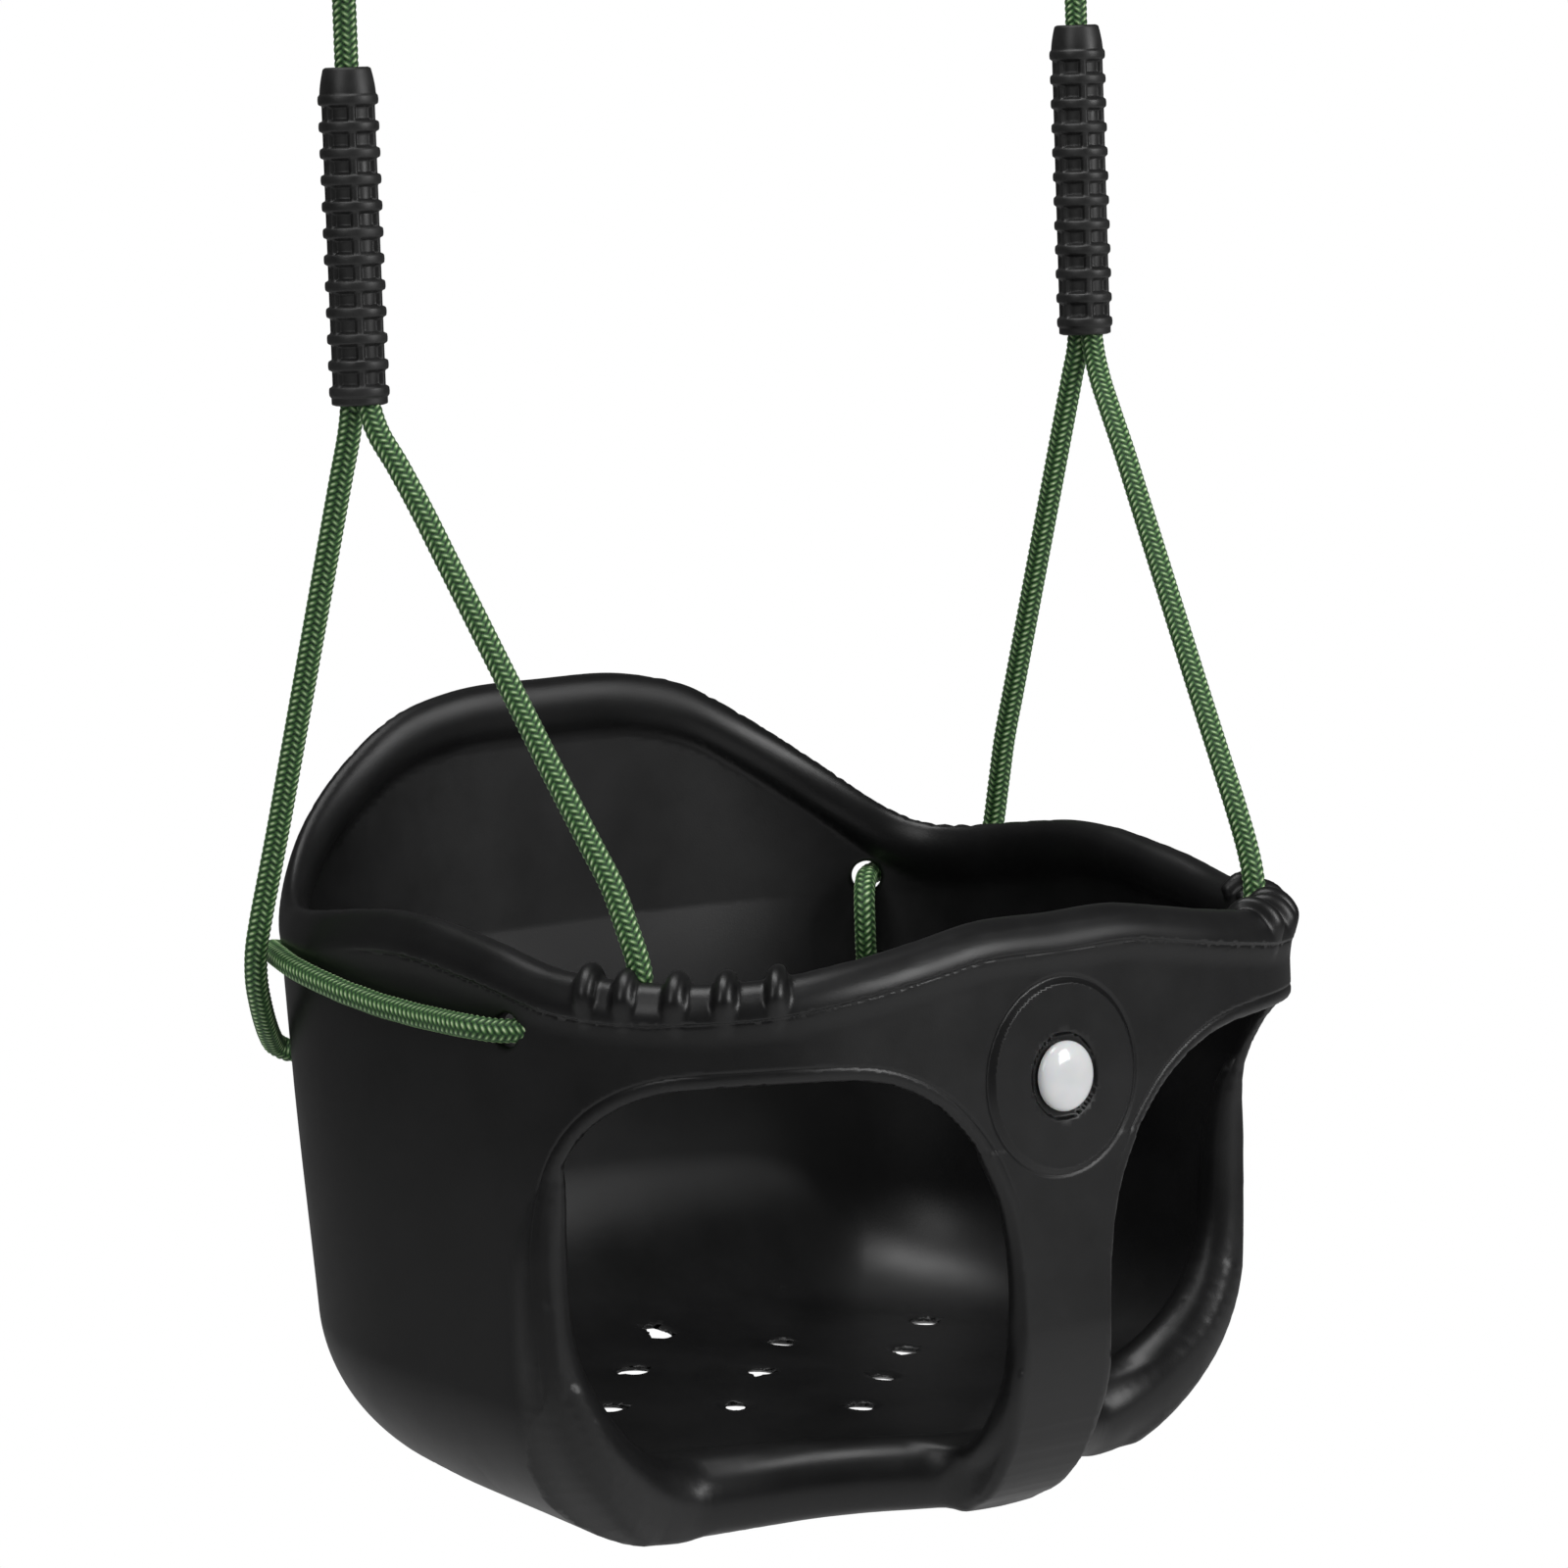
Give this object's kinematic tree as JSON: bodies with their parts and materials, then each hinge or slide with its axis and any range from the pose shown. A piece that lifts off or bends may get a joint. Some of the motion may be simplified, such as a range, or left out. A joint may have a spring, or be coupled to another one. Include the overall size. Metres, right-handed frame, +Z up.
{
  "type": "toddler bucket swing",
  "caption": "Moulded high-back bucket swing seat with leg openings, hung on braided ropes with ribbed hand grips and screw-lock quick links.",
  "frame": {"origin": "middle of the hang line, the line through the tops of the two quick links where the frame's eyes bear; the seat hangs below it", "axes": "+X to the seat's left-hand side as its rider sits (the viewer's right from the front), +Y towards the seat's back, the seat faces -Y, +Z up"},
  "size_m": [0.3595, 0.278, 0.6205],
  "materials": {
    "seat": "satin black moulded polyethylene with a faint mottle",
    "grip": "satin black rubber with rings and shallow pockets",
    "rope": "round green braid with light and dark strands",
    "button": "glossy white dome",
    "link": "gloss black steel, bare thread under the nut",
    "ferrule": "satin black crimp sleeve"
  },
  "bodies": {
    "links": {"link_body_left": "link", "link_body_right": "link"},
    "nut_left": {"link_nut_left": "link"},
    "nut_right": {"link_nut_right": "link"},
    "hanging": {"rope_left_upper": "rope", "rope_left_end": "rope", "ferrule_left": "ferrule", "grip_left": "grip", "rope_right_upper": "rope", "rope_right_end": "rope", "ferrule_right": "ferrule", "grip_right": "grip"},
    "seat": {"seat_shell": "seat", "front_button": "button", "button_retainer": "seat", "rope_left_seat": "rope", "rope_right_seat": "rope"}
  },
  "joints": [
    {"name": "swing", "type": "hinge", "parent": "links", "child": "hanging", "pos_m": [0, 0, -0.062], "axis": [1, 0, 0], "range_deg": [-45, 45]},
    {"name": "seat_rock", "type": "hinge", "parent": "hanging", "child": "seat", "pos_m": [0, 0, -0.24], "axis": [1, 0, 0], "range_deg": [-20, 20]},
    {"name": "nut_left_open", "type": "slide", "parent": "links", "child": "nut_left", "axis": [0, 0, -1], "range_m": [0, 0.016]},
    {"name": "nut_right_open", "type": "slide", "parent": "links", "child": "nut_right", "axis": [0, 0, -1], "range_m": [0, 0.016]}
  ]
}
